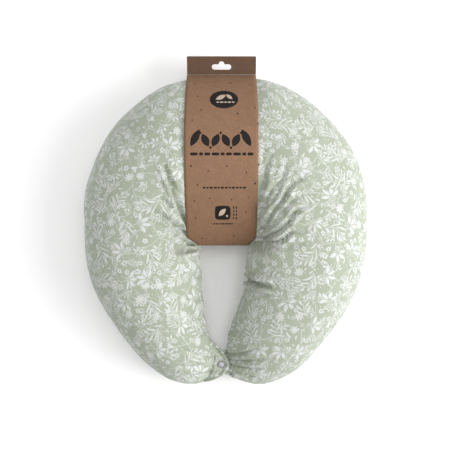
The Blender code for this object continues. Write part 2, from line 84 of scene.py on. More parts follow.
# The ring's plan, as in the CAD: the outer edge is round from station 1 to station 5
TIP = 12
ARC_RADIUS, ARC_CENTRE = 243.6 * MM, (4 * MM, 16 * MM)
ARC_FIRST, ARC_STEP = math.radians(20), math.radians(18.5)
BACK_EDGE = (0, 257.5)
OUTER_ARM = ((243, -71), (221, -134), (189, -188), (147, -239), (102, -275), (60, -288))
OUTER_TIP = {-1: (27, -280), 1: (13, -277)}
INNER_EDGE = {
    -1: ((0, -36), (26, -37), (42, -43), (46, -54), (43, -70), (42, -88), (41, -112),
         (39, -138), (37, -164), (33, -190), (26, -209), (20, -220), (17, -227)),
    1: ((0, -36), (22, -37), (36, -42), (38, -52), (35, -66), (35, -84), (37, -103),
        (31, -120), (25, -138), (18, -160), (10, -184), (5, -204), (4, -224)),
}

# The height of the ring's top, of its side seam and of its underside at stations 0 to 12.
# The highest line runs RIDGE inside the outer edge, FLAT_SHARE of the underside's width
# lies flat, and the powers shape the rounding
TOP = (150, 150, 151, 150, 149, 148, 145, 140, 131, 117, 97, 76, 55)
SEAM = (70, 70, 70, 70, 70, 70, 66, 62, 59, 57, 54, 51, 49.6)
BOTTOM = (0, 0, 0, 0, 0, 0, 0, 0, 0, 0, 6, 22, 44)
RIDGE = 125 * MM
FLAT_SHARE = 0.38
TOP_POWER, BOTTOM_POWER, EDGE_POWER = 2.3, 2.2, 0.6

# How finely the cover is cut, and where its lower panel is cut from the printed cloth
CELLS_A_STATION = 5
CELLS_A_PANEL = 40
SECTION_SAMPLES = 181
LOWER_PANEL_SHIFT = (1.3, 0.2)

# The sleeve: its middle in x, half its width and the card's thickness; its crease, its inner
# fold and its top in y; its seam's height and how far it arches over that; and its narrow
# end. CREASE_TURN stops the card just short of the header's root
CARD_X, CARD_HALF, CARD = -7 * MM, 60 * MM, 0.5 * MM
CREASE_Y, FOLD_Y, CARD_TOP_Y = 259.2 * MM, -39 * MM, 132 * MM
CARD_Z, CARD_RISE = 70 * MM, 82 * MM
CREASE_TURN = 1.47
WAIST_X, WAIST_HALF, WAIST_Y = -3.5 * MM, 45 * MM, -20 * MM
SLEEVE_ROWS, SLEEVE_CELLS = 110, 24
INK = 0.12 * MM
# Small stars and dots on the card
SPECKS = ((-52, 236), (-30, 232), (8, 238), (40, 234), (-46, 210), (46, 214), (-40, 184), (20, 178),
          (48, 188), (-54, 166), (52, 160), (-56, 92), (-28, 84), (2, 92), (34, 82), (54, 94),
          (-46, 62), (48, 64), (-52, 36), (-26, 40), (10, 38), (38, 42), (-50, 8), (-34, -6), (34, 18),
          (48, 0), (-40, -26), (-14, -28), (14, -22), (34, -30))

# The cover stays this clear of the card, and rises to its full height this far beside it
CARD_CLEAR = 1.2 * MM
BULGE_REACH, BULGE_RISE, FOLD_REACH = 55 * MM, 110 * MM, 28 * MM

# Creases in the cover, each as its depth, its half width and its line in plan. A negative
# depth makes a ridge
FOLDS = (
    (10, 3.6, ((52, -27), (60, -28), (68, -25), (80, -17))),
    (10, 3.6, ((50, -36), (62, -35), (78, -32), (95, -27), (107, -14))),
    (8, 3.8, ((60, -33), (74, -27), (86, -14), (100, -2), (112, 16), (138, 30))),
    (5, 4, ((62, -18), (76, -4), (86, 16), (98, 24), (108, 36), (124, 42))),
    (8, 3.8, ((56, -18), (66, -6), (76, 16), (92, 36), (106, 60), (132, 78))),
    (4, 3.6, ((82, 2), (94, 10), (106, 12), (120, 22))),
    (5, 4, ((54, 0), (62, 20), (70, 46), (90, 70), (98, 96))),
    (4, 3.6, ((70, 30), (82, 44), (88, 62))),
    (5, 4.5, ((52, 26), (60, 52), (64, 84), (74, 112))),
    (3, 4, ((54, 70), (60, 98), (62, 128))),
    (-3, 5, ((76, -30), (100, -15), (128, -5))),
    (5, 4.5, ((92, -22), (116, -12), (142, -8))),
    (4, 4, ((66, -41), (96, -39), (128, -36))),
    (14, 4.4, ((8, -96), (26, -97), (40, -99), (54, -104), (76, -107))),
    (3.5, 4, ((34, -86), (54, -88), (76, -86))),
    (3, 4, ((26, -114), (52, -118), (72, -120))),
    (9, 4.2, ((-50, -30), (-62, -22), (-78, -10), (-96, 6), (-118, 18))),
    (11, 3.8, ((-60, -16), (-70, 8), (-80, 36), (-90, 66), (-100, 96))),
    (7, 4, ((-88, 74), (-82, 58), (-74, 44))),
    (6, 4, ((-106, 40), (-94, 28), (-82, 20))),
    (5, 4.5, ((-44, -42), (-62, -47), (-84, -46))),
    (4, 4, ((-34, -60), (-50, -61), (-66, -57))),
    (3, 4, ((-28, -92), (-46, -94), (-60, -90))),
    (4, 4, ((-28, -129), (-46, -131), (-62, -128))),
    (3, 4, ((-26, -160), (-44, -161), (-56, -165))),
    (4, 4, ((-22, -192), (-40, -189), (-56, -193))),
    (3.5, 4, ((-22, -240), (-44, -228), (-72, -214))),
    (3.5, 4, ((-24, -252), (-50, -248), (-80, -244))),
    (3, 4, ((-24, -264), (-50, -266), (-78, -264))),
    (5, 3.4, ((-2, -236), (12, -232), (30, -225), (54, -212))),
    (6, 3.2, ((0, -243), (16, -242), (36, -239), (68, -232))),
    (6, 3.2, ((0, -251), (16, -252), (38, -253), (68, -253))),
    (5, 3.4, ((2, -260), (18, -263), (36, -268), (60, -272))),
)

# The cloth simulation, and the rumples pressed into the cover after it
FRAMES, PRESSURE, GROWTH, MOST_MOVE = 20, 4, 0.06, 8 * MM
PUFF, PUFF_SIZE = 3.2 * MM, 75 * MM
PUCKER, INNER_PUCKER, PUCKER_SIZE = 0.35 * MM, 2.4 * MM, 13 * MM
SEAM_PINCH, SEAM_SHARE = 1.3 * MM, 0.011

# The zip's height, and the flat cover under it and under the label: how far each reaches,
# over how much of that it fades out, and how deep it is pulled in
ZIP_Z = 50 * MM
ZIP_REACH, ZIP_FADE = 30 * MM, 12 * MM
LABEL_REACH, LABEL_FADE = 24 * MM, 14 * MM
SEWN_DEPTH = 1.0 * MM
# The zip's teeth: their spacing, the two radii of their winding, and their thread. Then the
# stitches: their spacing, their thread, and how far in from the label's edge they run
TOOTH, COIL_OUT, COIL_UP, COIL_THREAD = 1.6 * MM, 0.5 * MM, 0.6 * MM, 0.7 * MM
STITCH, THREAD, EDGE = 3.2 * MM, 0.35 * MM, 1.6 * MM

# The press stud's middle, and the edges of the upper and the lower tongue, each from the
# arm's outer edge to its inner one
STUD = (-8, -251)
UPPER_RIM = ((-38, -282), (-24, -279), (-9, -272.5), (0, -265), (5, -256), (5.5, -247),
             (1.5, -236.5), (-6, -226), (-17, -215), (-27, -209))
LOWER_RIM = ((21, -279), (8, -274), (-6, -268), (-17, -259), (-20, -249), (-16, -239), (-8, -231),
             (0, -226.5), (10, -222))
UPPER_LEVEL, LOWER_LEVEL, TAB = 54.6 * MM, 46.6 * MM, 2.4 * MM
UPPER_PUFF, LOWER_PUFF = 4.4 * MM, 2 * MM
TAB_TURN = math.radians(10.5)
HINGE = Vector((-20.09, -248.76, 54.6)) * MM
HINGE_BEFORE, HINGE_AFTER = 9 * MM, 5 * MM

# Where each arm starts to bend, at which angle and over which length
BEND_START = (66, -45, 70)
BEND_TURN = math.radians(25)
BEND_LENGTH = 150 * MM

# The printed cloth: its two colours, the size of the cells that hold each kind of motif,
# half the thinnest line, and the clear line that a motif leaves round those above it
GREEN = (0.338, 0.374, 0.292)
WHITE = (0.605, 0.612, 0.605)
LARGE_CELL, MIDDLE_CELL, SMALL_CELL, FINE_CELL = 43 * MM, 25 * MM, 13 * MM, 6 * MM
STEM_CELL = 40 * MM
HALF_LINE, CLEAR_LINE = 0.4 * MM, 0.8 * MM


# ---------------- small helpers

def fade(value, low, high):
    """Rises smoothly from 0 at one value to 1 at another."""
    t = np.clip((value - low) / (high - low), 0, 1)
    return t * t * (3 - 2 * t)


def catmull(points, at):
    """A smooth curve through evenly numbered points, read at an array of numbers."""
    p = np.asarray(points, float).reshape(len(points), -1)
    p = np.vstack([2 * p[:1] - p[1:2], p, 2 * p[-1:] - p[-2:-1]])
    first = np.clip(np.floor(at).astype(int), 0, len(p) - 4)
    t = (at - first)[:, None]
    p0, p1, p2, p3 = (p[first + k] for k in range(4))
    return 0.5 * (2 * p1 + (p2 - p0) * t + (2 * p0 - 5 * p1 + 4 * p2 - p3) * t ** 2
                  + (3 * p1 - p0 - 3 * p2 + p3) * t ** 3)


def lesser(a, b, width):
    """The smaller of two, rounded over where they cross."""
    gap = a - b
    return a - 0.5 * (gap + np.sqrt(gap ** 2 + width ** 2))


def greater(a, b, width):
    """The larger of two, rounded over where they cross."""
    return -lesser(-a, -b, width)


def mesh_object(name, points, faces, finish=None):
    mesh = bpy.data.meshes.new(name)
    mesh.from_pydata([tuple(p) for p in points], [], faces)
    mesh.validate()
    if finish:
        mesh.materials.append(finish)
    mesh.shade_smooth()
    return linked(name, mesh)


def applied(thing):
    """Replaces an object's mesh by what its modifiers make of it."""
    graph = bpy.context.evaluated_depsgraph_get()
    mesh = bpy.data.meshes.new_from_object(thing.evaluated_get(graph))
    thing.modifiers.clear()
    thing.data = mesh
    return thing


def subdivide(thing, levels):
    smooth = thing.modifiers.new("smooth", "SUBSURF")
    smooth.levels = smooth.render_levels = levels
    return applied(thing)


def coordinates(mesh, what="co"):
    """Every vertex's place, or its normal."""
    out = np.empty(len(mesh.vertices) * 3)
    mesh.vertices.foreach_get(what, out)
    return out.reshape(-1, 3)


def set_coordinates(mesh, co):
    mesh.vertices.foreach_set("co", np.asarray(co, np.float32).ravel())
    mesh.update()


def grid_faces(rows, columns, closed=False):
    """Quads between rows of points, each row as long as the next and closed on itself or not."""
    last = columns if closed else columns - 1
    return [(r * columns + k, r * columns + (k + 1) % columns,
             (r + 1) * columns + (k + 1) % columns, (r + 1) * columns + k)
            for r in range(rows - 1) for k in range(last)]


def thickened(thing, thickness, offset):
    shell = thing.modifiers.new("thickness", "SOLIDIFY")
    shell.thickness = thickness
    shell.offset = offset
    return applied(thing)


def linked(name, data):
    """A new object in the scene."""
    made = bpy.data.objects.new(name, data)
    bpy.context.scene.collection.objects.link(made)
    return made


def read_attribute(mesh, name):
    out = np.empty(len(mesh.vertices), np.float32)
    mesh.attributes[name].data.foreach_get("value", out)
    return out


def write_attribute(mesh, name, values):
    mesh.attributes.new(name, "FLOAT", "POINT").data.foreach_set("value", np.asarray(values, np.float32))


# ---------------- node materials

def operation(kind):
    """A method of Field that adds one Math node."""
    return lambda field, *others: field.op(kind, *others)


class Field:
    """A number that varies over a surface. Arithmetic on it adds Math nodes."""

    def __init__(self, tree, socket):
        self.tree, self.socket = tree, socket

    def op(self, kind, *others, clamp=False):
        node = self.tree.nodes.new("ShaderNodeMath")
        node.operation = kind
        node.use_clamp = clamp
        for slot, value in zip(node.inputs, (self, *others)):
            feed(self.tree, slot, value)
        return Field(self.tree, node.outputs[0])

    __add__ = operation("ADD")
    __sub__ = operation("SUBTRACT")
    __mul__ = operation("MULTIPLY")
    __truediv__ = operation("DIVIDE")
    __pow__ = operation("POWER")
    __abs__ = operation("ABSOLUTE")
    least = operation("MINIMUM")
    most = operation("MAXIMUM")

    def __neg__(self):
        return self * -1.0

    def __rsub__(self, other):
        return -self + other

    def clamped(self):
        """Limited to between 0 and 1."""
        return self.op("MULTIPLY", 1.0, clamp=True)


def feed(tree, slot, value):
    """Links a Field or a socket to an input, or sets the input to a number or a colour."""
    if isinstance(value, Field):
        tree.links.new(value.socket, slot)
    elif isinstance(value, bpy.types.NodeSocket):
        tree.links.new(value, slot)
    else:
        slot.default_value = (*value, 1.0) if slot.type == "RGBA" else value


def add_node(tree, kind, **settings):
    """A node with its properties set, and then its inputs, whose spaces are written as _."""
    node = tree.nodes.new(kind)
    for name, value in settings.items():
        if hasattr(node, name):
            setattr(node, name, value)
    for name, value in settings.items():
        if not hasattr(node, name):
            feed(tree, node.inputs[name.replace("_", " ")], value)
    return node


def split(tree, socket):
    parts = tree.nodes.new("ShaderNodeSeparateXYZ")
    tree.links.new(socket, parts.inputs[0])
    return [Field(tree, out) for out in parts.outputs]


def joined(tree, x, y, z=0.0):
    return add_node(tree, "ShaderNodeCombineXYZ", X=x, Y=y, Z=z).outputs[0]


def noise_field(tree, vector, size, detail=2.0, roughness=0.5):
    node = add_node(tree, "ShaderNodeTexNoise", Vector=vector, Scale=1 / size, Detail=detail,
                    Roughness=roughness)
    return Field(tree, node.outputs["Fac"])


def mix_colours(tree, share, first, second):
    node = tree.nodes.new("ShaderNodeMix")
    node.data_type = "RGBA"
    for number, value in ((0, share), (6, first), (7, second)):
        feed(tree, node.inputs[number], value)
    return node.outputs[2]


def tinted(colour, factor):
    """A colour made lighter or darker."""
    return [min(part * factor, 1) for part in colour]


def new_material(name):
    """A material, its node tree and the place on the surface in the model's frame."""
    made = bpy.data.materials.new(name)
    made.use_nodes = True
    tree = made.node_tree
    return made, tree, add_node(tree, "ShaderNodeTexCoord").outputs["Object"]


def shade(tree, colour, **values):
    """Gives the material's shader its colour and its other inputs, whose spaces are written as _."""
    shader = tree.nodes["Principled BSDF"]
    feed(tree, shader.inputs["Base Color"], colour)
    for name, value in values.items():
        feed(tree, shader.inputs[name.replace("_", " ")], value)


def bump(tree, height, distance, strength):
    node = add_node(tree, "ShaderNodeBump", Height=height, Distance=distance, Strength=strength)
    feed(tree, tree.nodes["Principled BSDF"].inputs["Normal"], node.outputs[0])


# ---------------- the botanical print

def cell_frame(tree, x, y, size, shift, randomness=0.75):
    """Coordinates about the nearest motif's middle, turned at random, and a random number."""
    x, y = x + shift, y + shift * 0.61
    voronoi = add_node(tree, "ShaderNodeTexVoronoi", voronoi_dimensions="2D",
                       Vector=joined(tree, x, y), Scale=1 / size, Randomness=randomness)
    middle = split(tree, voronoi.outputs["Position"])
    turn, pick, _ = split(tree, voronoi.outputs["Color"])
    x, y = x - middle[0], y - middle[1]
    turn = turn * TAU
    cos, sin = turn.op("COSINE"), turn.op("SINE")
    return x * cos + y * sin, y * cos - x * sin, pick


def leaf(x, y, length, width):
    """Below zero inside a pointed leaf that grows along x from the origin."""
    along = (x / length).clamped()
    swell = (along * math.pi).op("SINE")
    return abs(y) - swell * (width / 2 + 0.25 * MM) + HALF_LINE


def folded_polar(x, y, count):
    """x and y turned into one sector of a figure with equal arms, and the distance to its middle."""
    angle = y.op("ARCTAN2", x)
    radius = (x * x + y * y) ** 0.5
    part = TAU / count
    angle = (angle / part).op("FLOORED_MODULO", 1.0) * part - part / 2
    return radius * angle.op("COSINE"), radius * angle.op("SINE"), radius


def daisy(x, y, radius, petals):
    """Pointed petals round a full middle."""
    along, aside, distance = folded_polar(x, y, petals)
    petal = leaf(along - radius * 0.12, aside, radius * 0.9, radius * 0.4)
    return petal.least(distance - radius * 0.3)


def blossom(x, y, radius):
    """Five round petals round an open middle."""
    along, aside, distance = folded_polar(x, y, 5)
    petal = ((along - radius * 0.62) ** 2.0 + aside * aside) ** 0.5 - radius * 0.36
    return petal.most(radius * 0.2 - distance)


def branch(x, y, length, spacing, leaf_length, leaf_width):
    """A bowed stem with slanting slender leaves, set alternately and shorter to its ends."""
    y = y + x * x * (0.5 / length)
    slant = x - abs(y) * 1.15 + y.op("SIGN") * (spacing / 4)
    place = (slant / spacing).op("FLOORED_MODULO", 1.0) * spacing - spacing / 2
    reach = (abs(x) * (-0.7 / length) + 1.0) * leaf_length
    along = (abs(y) / reach).clamped()
    swell = (along * math.pi).op("SINE")
    leaves = abs(place) - swell * (leaf_width / 2 + 0.3 * MM) + HALF_LINE
    stem = abs(y) - HALF_LINE
    return leaves.least(stem).most(abs(x) - length)


def fan(x, y, length, width):
    """Leaves that spread to one side from a common stalk."""
    along, aside, _ = folded_polar(x, y, 7)
    leaves = leaf(along - 1.5 * MM, aside, length, width).most(-x - 3 * MM)
    stalk = abs(y) - HALF_LINE
    return leaves.least(stalk.most(x).most(-x - length * 0.8))


def trumpet(x, y, length):
    """A lily seen from its side: three pointed petals out of a narrow throat."""
    throat = leaf(x, y, length * 0.8, length * 0.34)
    petals = abs(y) - (x - length * 0.3) * 0.75
    lips = abs(abs(y) - (x - length * 0.35) * 0.55) - length * 0.09
    edge = x - length * 0.85 + abs(y) * 0.3
    return throat.least(lips.most(edge).most(length * 0.3 - x)).most(petals * 0.2 - 0.6 * MM)


def dots(x, y, radius):
    """A berry cluster: six dots round a seventh."""
    along, aside, distance = folded_polar(x, y, 6)
    ring = ((along - radius) ** 2.0 + aside * aside) ** 0.5 - radius * 0.3
    return ring.least(distance - radius * 0.3)


def stems(tree, x, y, size):
    """Thin winding lines that tie the motifs together."""
    edges = add_node(tree, "ShaderNodeTexVoronoi", voronoi_dimensions="2D",
                     feature="DISTANCE_TO_EDGE", Vector=joined(tree, x, y), Scale=1 / size,
                     Randomness=1.0)
    return Field(tree, edges.outputs["Distance"]) * size - HALF_LINE


def overlay(fields):
    """Motifs one over another, each leaving a thin clear line round those above it."""
    result = fields[0]
    for field in fields[1:]:
        result = result.least(field.most(CLEAR_LINE - result))
    return result


def limited(field, number, low, high):
    """A motif only in the cells whose random number lies between two bounds."""
    outside = abs(number - (low + high) / 2) - (high - low) / 2
    return field.most(outside * 9.0)


def print_field(tree, x, y):
    """The whole pattern: below zero inside a motif, and elsewhere a distance to the motifs."""
    bx, by, pick = cell_frame(tree, x, y, LARGE_CELL, 0.31, 0.6)
    large = (limited(branch(bx, by, 24 * MM, 10 * MM, 16 * MM, 4.6 * MM), pick, 0.0, 0.45)
             .least(limited(fan(bx, by, 17 * MM, 6 * MM), pick, 0.45, 0.8))
             .least(limited(trumpet(bx, by, 17 * MM), pick, 0.8, 1.0)))
    mx, my, pick = cell_frame(tree, x, y, MIDDLE_CELL, 1.77, 0.75)
    middle = (limited(daisy(mx, my, 8.2 * MM, 8), pick, 0.0, 0.3)
              .least(limited(fan(mx, my, 10.5 * MM, 3.8 * MM), pick, 0.3, 0.55))
              .least(limited(branch(mx, my, 12 * MM, 6 * MM, 9 * MM, 3 * MM), pick, 0.55, 0.85)))
    sx, sy, pick = cell_frame(tree, x, y, SMALL_CELL, 5.91, 0.85)
    small = (limited(blossom(sx, sy, 4.6 * MM), pick, 0.0, 0.36)
             .least(limited(dots(sx, sy, 2.6 * MM), pick, 0.36, 0.5))
             .least(limited(leaf(sx + 4.5 * MM, sy, 9.5 * MM, 2.6 * MM), pick, 0.5, 0.85)))
    fx, fy, pick = cell_frame(tree, x, y, FINE_CELL, 9.37, 0.95)
    fine = limited((fx * fx + fy * fy) ** 0.5 - 0.8 * MM, pick, 0.0, 0.35)
    return overlay([large, middle, stems(tree, x + 0.9, y, STEM_CELL), small, fine])


def cover_cloth():
    """Woven cotton printed with the pattern, whose ink is patchy."""
    made, tree, _ = new_material("printed_cotton")
    place = add_node(tree, "ShaderNodeUVMap", uv_map="print").outputs[0]
    x, y, _ = split(tree, place)
    sway_size, sway_reach = 28 * MM, 9 * MM
    sway = noise_field(tree, place, sway_size, 1.0)
    swing = noise_field(tree, joined(tree, y + 0.4, x), sway_size, 1.0)
    field = print_field(tree, x + (sway - 0.5) * sway_reach, y + (swing - 0.5) * sway_reach)
    soft_edge = 0.7 * MM
    cover = (field * (-1 / soft_edge) + 0.5).clamped()
    patchy = noise_field(tree, place, 1.6 * MM, 3.0, 0.7)
    cover = cover * (patchy * 0.5 + 0.68).clamped()
    drift = noise_field(tree, place, 70 * MM, 2.0)
    ground = mix_colours(tree, drift, tinted(GREEN, 0.93), tinted(GREEN, 1.08))
    shade(tree, mix_colours(tree, cover, ground, WHITE), Roughness=0.88, Specular_IOR_Level=0.25,
          Sheen_Weight=0.25, Sheen_Roughness=0.6)
    thread = 0.42 * MM
    warp = (x * (TAU / thread)).op("SINE")
    weft = (y * (TAU / thread)).op("SINE")
    slub = noise_field(tree, place, 2.5 * MM, 3.0)
    bump(tree, warp * weft * 0.25 + slub * 0.7, 0.12 * MM, 0.5)
    return made


def flecks(tree, place, cell, channel, least, scale, soft):
    """Scattered specks of random sizes: 1 inside one. Each cell has one if its number is enough."""
    cells = add_node(tree, "ShaderNodeTexVoronoi", Vector=place, Scale=1 / cell, Randomness=1.0)
    distance = Field(tree, cells.outputs["Distance"]) * cell
    size = (split(tree, cells.outputs["Color"])[channel] - least) * scale
    return ((size - distance) / soft + 0.5).clamped()


def kraft_card(name, colour):
    """Uncoated kraft board: short fibres, dark flecks and a slight grain."""
    made, tree, place = new_material(name)
    cloud = noise_field(tree, place, 14 * MM, 4.0, 0.6)
    fine = noise_field(tree, place, 2.6 * MM, 5.0, 0.8)
    stretched = add_node(tree, "ShaderNodeMapping", Vector=place, Scale=(1.0, 0.22, 1.0))
    fibre = noise_field(tree, stretched.outputs[0], 0.8 * MM, 3.0, 0.6)
    tone = ((cloud * 0.2 + fine * 0.55 + fibre * 0.25 - 0.5) * 2.6 + 0.5).clamped()
    base = mix_colours(tree, tone, tinted(colour, 0.68), tinted(colour, 1.32))
    large = flecks(tree, place, 21 * MM, 0, 0.0, 1.5 * MM, 0.4 * MM)
    small = flecks(tree, place, 5 * MM, 1, 0.72, 2.0 * MM, 0.3 * MM) * 0.6
    shade(tree, mix_colours(tree, large.most(small), base, tinted(colour, 0.14)),
          Roughness=0.82, Specular_IOR_Level=0.3)
    bump(tree, fine * 0.6 + fibre * 0.6, 0.1 * MM, 0.5)
    return made


def printing_ink(name, colour):
    """Ink that the card's fibres show through."""
    made, tree, place = new_material(name)
    grain = noise_field(tree, place, 0.9 * MM, 3.0, 0.7)
    patch = noise_field(tree, place, 9 * MM, 2.0)
    dull = [part * 1.5 + 0.004 for part in colour]
    shade(tree, mix_colours(tree, grain * 0.6 + patch * 0.4, tinted(colour, 0.8), dull),
          Roughness=0.7, Specular_IOR_Level=0.15)
    bump(tree, grain, 0.05 * MM, 0.4)
    return made


def worn_metal(name, colour, roughness, scale, rim=None):
    """Plated metal, finely brushed, with dull smudges, and with painted shade beyond a radius from
    the stud's middle if one is given, for the shadow in the recess round the cap's rim."""
    made, tree, place = new_material(name)
    stretched = add_node(tree, "ShaderNodeMapping", Vector=place, Scale=(1.0, 0.1, 1.0))
    brushed = noise_field(tree, stretched.outputs[0], scale, 4.0, 0.6)
    smudge = noise_field(tree, place, 3.5 * MM, 3.0)
    plate = mix_colours(tree, smudge, tinted(colour, 0.82), colour)
    if rim:
        x, y, _ = split(tree, place)
        from_stud = ((x - STUD[0] * MM) ** 2.0 + (y - STUD[1] * MM) ** 2.0) ** 0.5
        # Painted shade: beyond the radius the plate darkens, standing for the shadow in the recess round the
        # cap's rim
        painted_rim_shade = ((from_stud - rim) / (0.5 * MM)).clamped()
        plate = mix_colours(tree, painted_rim_shade, plate, tinted(colour, 0.3))
    shade(tree, plate, Roughness=brushed * 0.14 + smudge * 0.16 + (roughness - 0.12), Metallic=1.0)
    bump(tree, brushed, 0.02 * MM, 0.3)
    return made


def woven(name, colour, thread, share=0.2, ribs=False):
    """A plain or ribbed weave of fine threads, with a slightly uneven dye."""
    made, tree, place = new_material(name)
    x, y, z = split(tree, place)
    warp = (x * (TAU / thread) + y * (TAU / thread * 0.4)).op("SINE")
    weft = (z * (TAU / thread) + (x - y) * (TAU / thread * (0.5 if ribs else 0.1))).op("SINE")
    weave = warp * weft * 0.5 + 0.5
    fuzz = noise_field(tree, place, 0.7 * MM, 3.0, 0.7)
    dye = noise_field(tree, place, 11 * MM, 2.0)
    tone = weave * 0.4 + fuzz * 0.3 + dye * 0.3
    shade(tree, mix_colours(tree, tone, tinted(colour, 1 - share), tinted(colour, 1 + share)),
          Roughness=0.85, Sheen_Weight=0.2)
    bump(tree, weave * 0.7 + fuzz * 0.3, 0.15 * MM, 0.6)
    return made


def moulded(name, colour):
    """Nylon with a faint grain from its mould."""
    made, tree, place = new_material(name)
    grain = noise_field(tree, place, 0.4 * MM, 3.0, 0.6)
    tint = noise_field(tree, place, 6 * MM, 2.0)
    shade(tree, mix_colours(tree, tint, tinted(colour, 0.88), tinted(colour, 1.08)),
          Roughness=grain * 0.2 + 0.32)
    bump(tree, grain, 0.03 * MM, 0.4)
    return made


# ---------------- the ring's surface

def arc_knot(station):
    """The outer edge's place at a station of its round stretch, in millimetres."""
    turn = ARC_FIRST + (station - 1) * ARC_STEP
    return [(c + ARC_RADIUS * f(turn)) / MM for c, f in zip(ARC_CENTRE, (math.sin, math.cos))]


def edge_line(left, right):
    """Both sides' points as one line, numbered from the left tip to the right one."""
    return np.array([(-x, y) for x, y in left[:0:-1]] + list(right)) * MM


def outer_side(side):
    """The outer edge's points from the middle of the back to a tip."""
    return [BACK_EDGE] + [arc_knot(k) for k in range(1, 6)] + [*OUTER_ARM, OUTER_TIP[side]]


OUTER_LINE = edge_line(outer_side(-1), outer_side(1))
INNER_LINE = edge_line(INNER_EDGE[-1], INNER_EDGE[1])
TOP_LINE, SEAM_LINE, BOTTOM_LINE = (np.array(t[:0:-1] + t) * MM for t in (TOP, SEAM, BOTTOM))


def card_across(y):
    """How far across the sleeve a y is: 0 on top, 1 at the crease and at the inner fold."""
    span = np.where(y > CARD_TOP_Y, CREASE_Y - CARD_TOP_Y, CARD_TOP_Y - FOLD_Y)
    return np.clip(np.abs(y - CARD_TOP_Y) / span, 0, 1)


def card_over(y):
    """The card's height over the ring, which is as round as a lens."""
    return CARD_Z + CARD_RISE * (1 - card_across(y) ** 2) ** 0.9


def card_under(y):
    """The card's height under the ring: flat on the floor and rising to both its ends."""
    share = np.clip((card_across(y) - FLAT_SHARE) / (1 - FLAT_SHARE), 0, 1)
    return CARD_Z * (1 - (1 - share ** 2) ** 0.75)


def surface(u, s, under):
    """Points on the cover at stations u, across from -1 at the outer edge to 1 at the inner."""
    at = u + TIP
    outer, inner = catmull(OUTER_LINE, at), catmull(INNER_LINE, at)
    top, seam, bottom = (catmull(t, at)[:, 0] for t in (TOP_LINE, SEAM_LINE, BOTTOM_LINE))
    share = np.minimum(RIDGE / np.linalg.norm(inner - outer, axis=1), 0.5)[:, None]
    ridge = outer + (inner - outer) * share
    plan = ridge + (np.where(s[:, None] < 0, outer, inner) - ridge) * np.abs(s)[:, None]
    beside = BULGE_RISE * (fade(np.abs(plan[:, 0] - CARD_X) - CARD_HALF, 0, BULGE_REACH)
                           + fade(FOLD_Y - plan[:, 1], 0, FOLD_REACH))
    soft_over, soft_under = 5 * MM, 0.4 * MM
    if under:
        flat = np.clip((np.abs(s) - FLAT_SHARE) / (1 - FLAT_SHARE), 0, 1)
        full = np.maximum(1 - flat ** BOTTOM_POWER, 0) ** EDGE_POWER
        hull = seam - (seam - np.maximum(bottom, 0)) * full
        z = greater(hull, card_under(plan[:, 1]) + CARD_CLEAR - beside, soft_under)
        z = np.minimum(z, seam)
    else:
        full = np.maximum(1 - np.abs(s) ** TOP_POWER, 0) ** EDGE_POWER
        hull = seam + (top - seam) * full
        z = lesser(hull, card_over(plan[:, 1]) - CARD_CLEAR + beside, soft_over)
        z = np.maximum(z, seam)
    return np.column_stack([plan, z])


def resampled(line, extra, count):
    """A line of points and its extra columns read again at even steps along it."""
    steps = np.linalg.norm(np.diff(line, axis=0), axis=1)
    length = np.concatenate([[0], np.cumsum(steps)])
    at = np.linspace(0, length[-1], count + 1)
    columns = np.column_stack([line, extra, length])
    return np.column_stack([np.interp(at, length, c) for c in columns.T])


def panel_section(u, under):
    """One station's points over or under the ring, with their place on the cut cloth."""
    s = np.sin(np.linspace(-math.pi / 2, math.pi / 2, SECTION_SAMPLES))
    line = surface(np.full(len(s), u), s, under)
    rows = resampled(line, s, CELLS_A_PANEL)
    at = np.array([u + TIP])
    outer, inner = catmull(OUTER_LINE, at)[0], catmull(INNER_LINE, at)[0]
    way = (inner - outer) / np.linalg.norm(inner - outer)
    ridge = outer + way * min(RIDGE, np.linalg.norm(inner - outer) / 2)
    middle = np.interp(0, rows[:, 3], rows[:, 4])
    cloth = ridge + way * (rows[:, 4] - middle)[:, None]
    return rows[:, :3], cloth


def ring_mesh():
    """The whole cover as one closed quad mesh, with its stations and its cloth as data."""
    stations = np.linspace(-TIP, TIP, 2 * TIP * CELLS_A_STATION + 1)
    points, cloths = [], []
    for u in stations:
        over, cloth_over = panel_section(u, False)
        below, cloth_below = panel_section(u, True)
        points.append(np.vstack([over, below[-2:0:-1]]))
        cloth_below = cloth_below * (-1, 1) + LOWER_PANEL_SHIFT
        cloths.append((cloth_over, cloth_below))
    around = 2 * CELLS_A_PANEL
    faces, corners = grid_faces(len(stations), around, True), []
    for i in range(len(stations) - 1):
        for k in range(around):
            panel = int(k >= CELLS_A_PANEL)
            near, far = (around - k, around - k - 1) if panel else (k, k + 1)
            corners += [cloths[i][panel][near], cloths[i][panel][far],
                        cloths[i + 1][panel][far], cloths[i + 1][panel][near]]
    for i, way in ((0, 1), (len(stations) - 1, -1)):
        for k in range(CELLS_A_PANEL):
            loop = [i * around + j % around for j in (k, around - k, around - k - 1, k + 1)]
            loop = list(dict.fromkeys(loop))
            if len(loop) < 3:
                continue
            faces.append(tuple(loop[::way]))
            corners += [cloths[i][0][k]] * len(loop)
    thing = mesh_object("ring", np.vstack(points), faces)
    mesh = thing.data
    layer = mesh.uv_layers.new(name="print")
    layer.data.foreach_set("uv", np.asarray(corners, np.float32).ravel())
    write_attribute(mesh, "station", np.repeat(stations, around))
    to_inner = np.abs(np.arange(around) - CELLS_A_PANEL) / CELLS_A_PANEL
    write_attribute(mesh, "from_inner_seam", np.tile(to_inner, len(stations)))
    return thing


def distance_to(path, points):
    """Each point's distance to a plan path, and how far along the path it is, 0 to 1."""
    best = np.full(len(points), 1e9)
    along = np.zeros(len(points))
    count = len(path) - 1
    for i in range(count):
        run = path[i + 1] - path[i]
        t = np.clip((points - path[i]) @ run / (run @ run), 0, 1)
        gap = np.linalg.norm(points - path[i] - t[:, None] * run, axis=1)
        nearer = gap < best
        best[nearer] = gap[nearer]
        along[nearer] = ((i + t) / count)[nearer]
    return best, along


